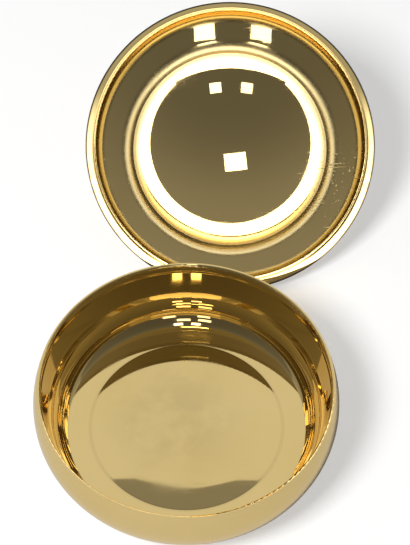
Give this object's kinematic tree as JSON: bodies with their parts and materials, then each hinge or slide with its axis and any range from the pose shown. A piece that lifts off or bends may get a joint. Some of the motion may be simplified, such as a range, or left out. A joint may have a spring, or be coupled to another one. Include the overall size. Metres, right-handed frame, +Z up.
{
  "type": "pyx",
  "caption": "Round gilt pyx for hosts: a double-walled bowl with a stepped inside, and its domed lid with a small cross, lying behind it with the inside up.",
  "frame": {"origin": "on the table, at the centre of the bowl's flat foot", "axes": "+Z up along the bowl's axis, +Y from the bowl towards the lid that lies behind it, +X to the right as seen from the bowl"},
  "size_m": [0.1091, 0.1816, 0.0536],
  "materials": {
    "gilt_outside": "polished, with fine handling scratches",
    "gilt_inside": "polished, with fine turning marks",
    "gilt_lid": "polished, scratched and a little worn",
    "gilt_bezel": "polished, rubbed bright on its edge",
    "gilt_finial": "polished"
  },
  "bodies": {
    "bowl": {"bowl_shell": "gilt_outside", "bowl_liner": "gilt_inside"},
    "lid": {"lid_shell": "gilt_lid", "lid_bezel": "gilt_bezel", "finial_collet": "gilt_finial", "finial_cross": "gilt_finial"}
  },
  "joints": [
    {"name": "lid_lift", "type": "slide", "parent": "bowl", "child": "lid", "axis": [0, 0, 1], "range_m": [0, 0.08]}
  ]
}
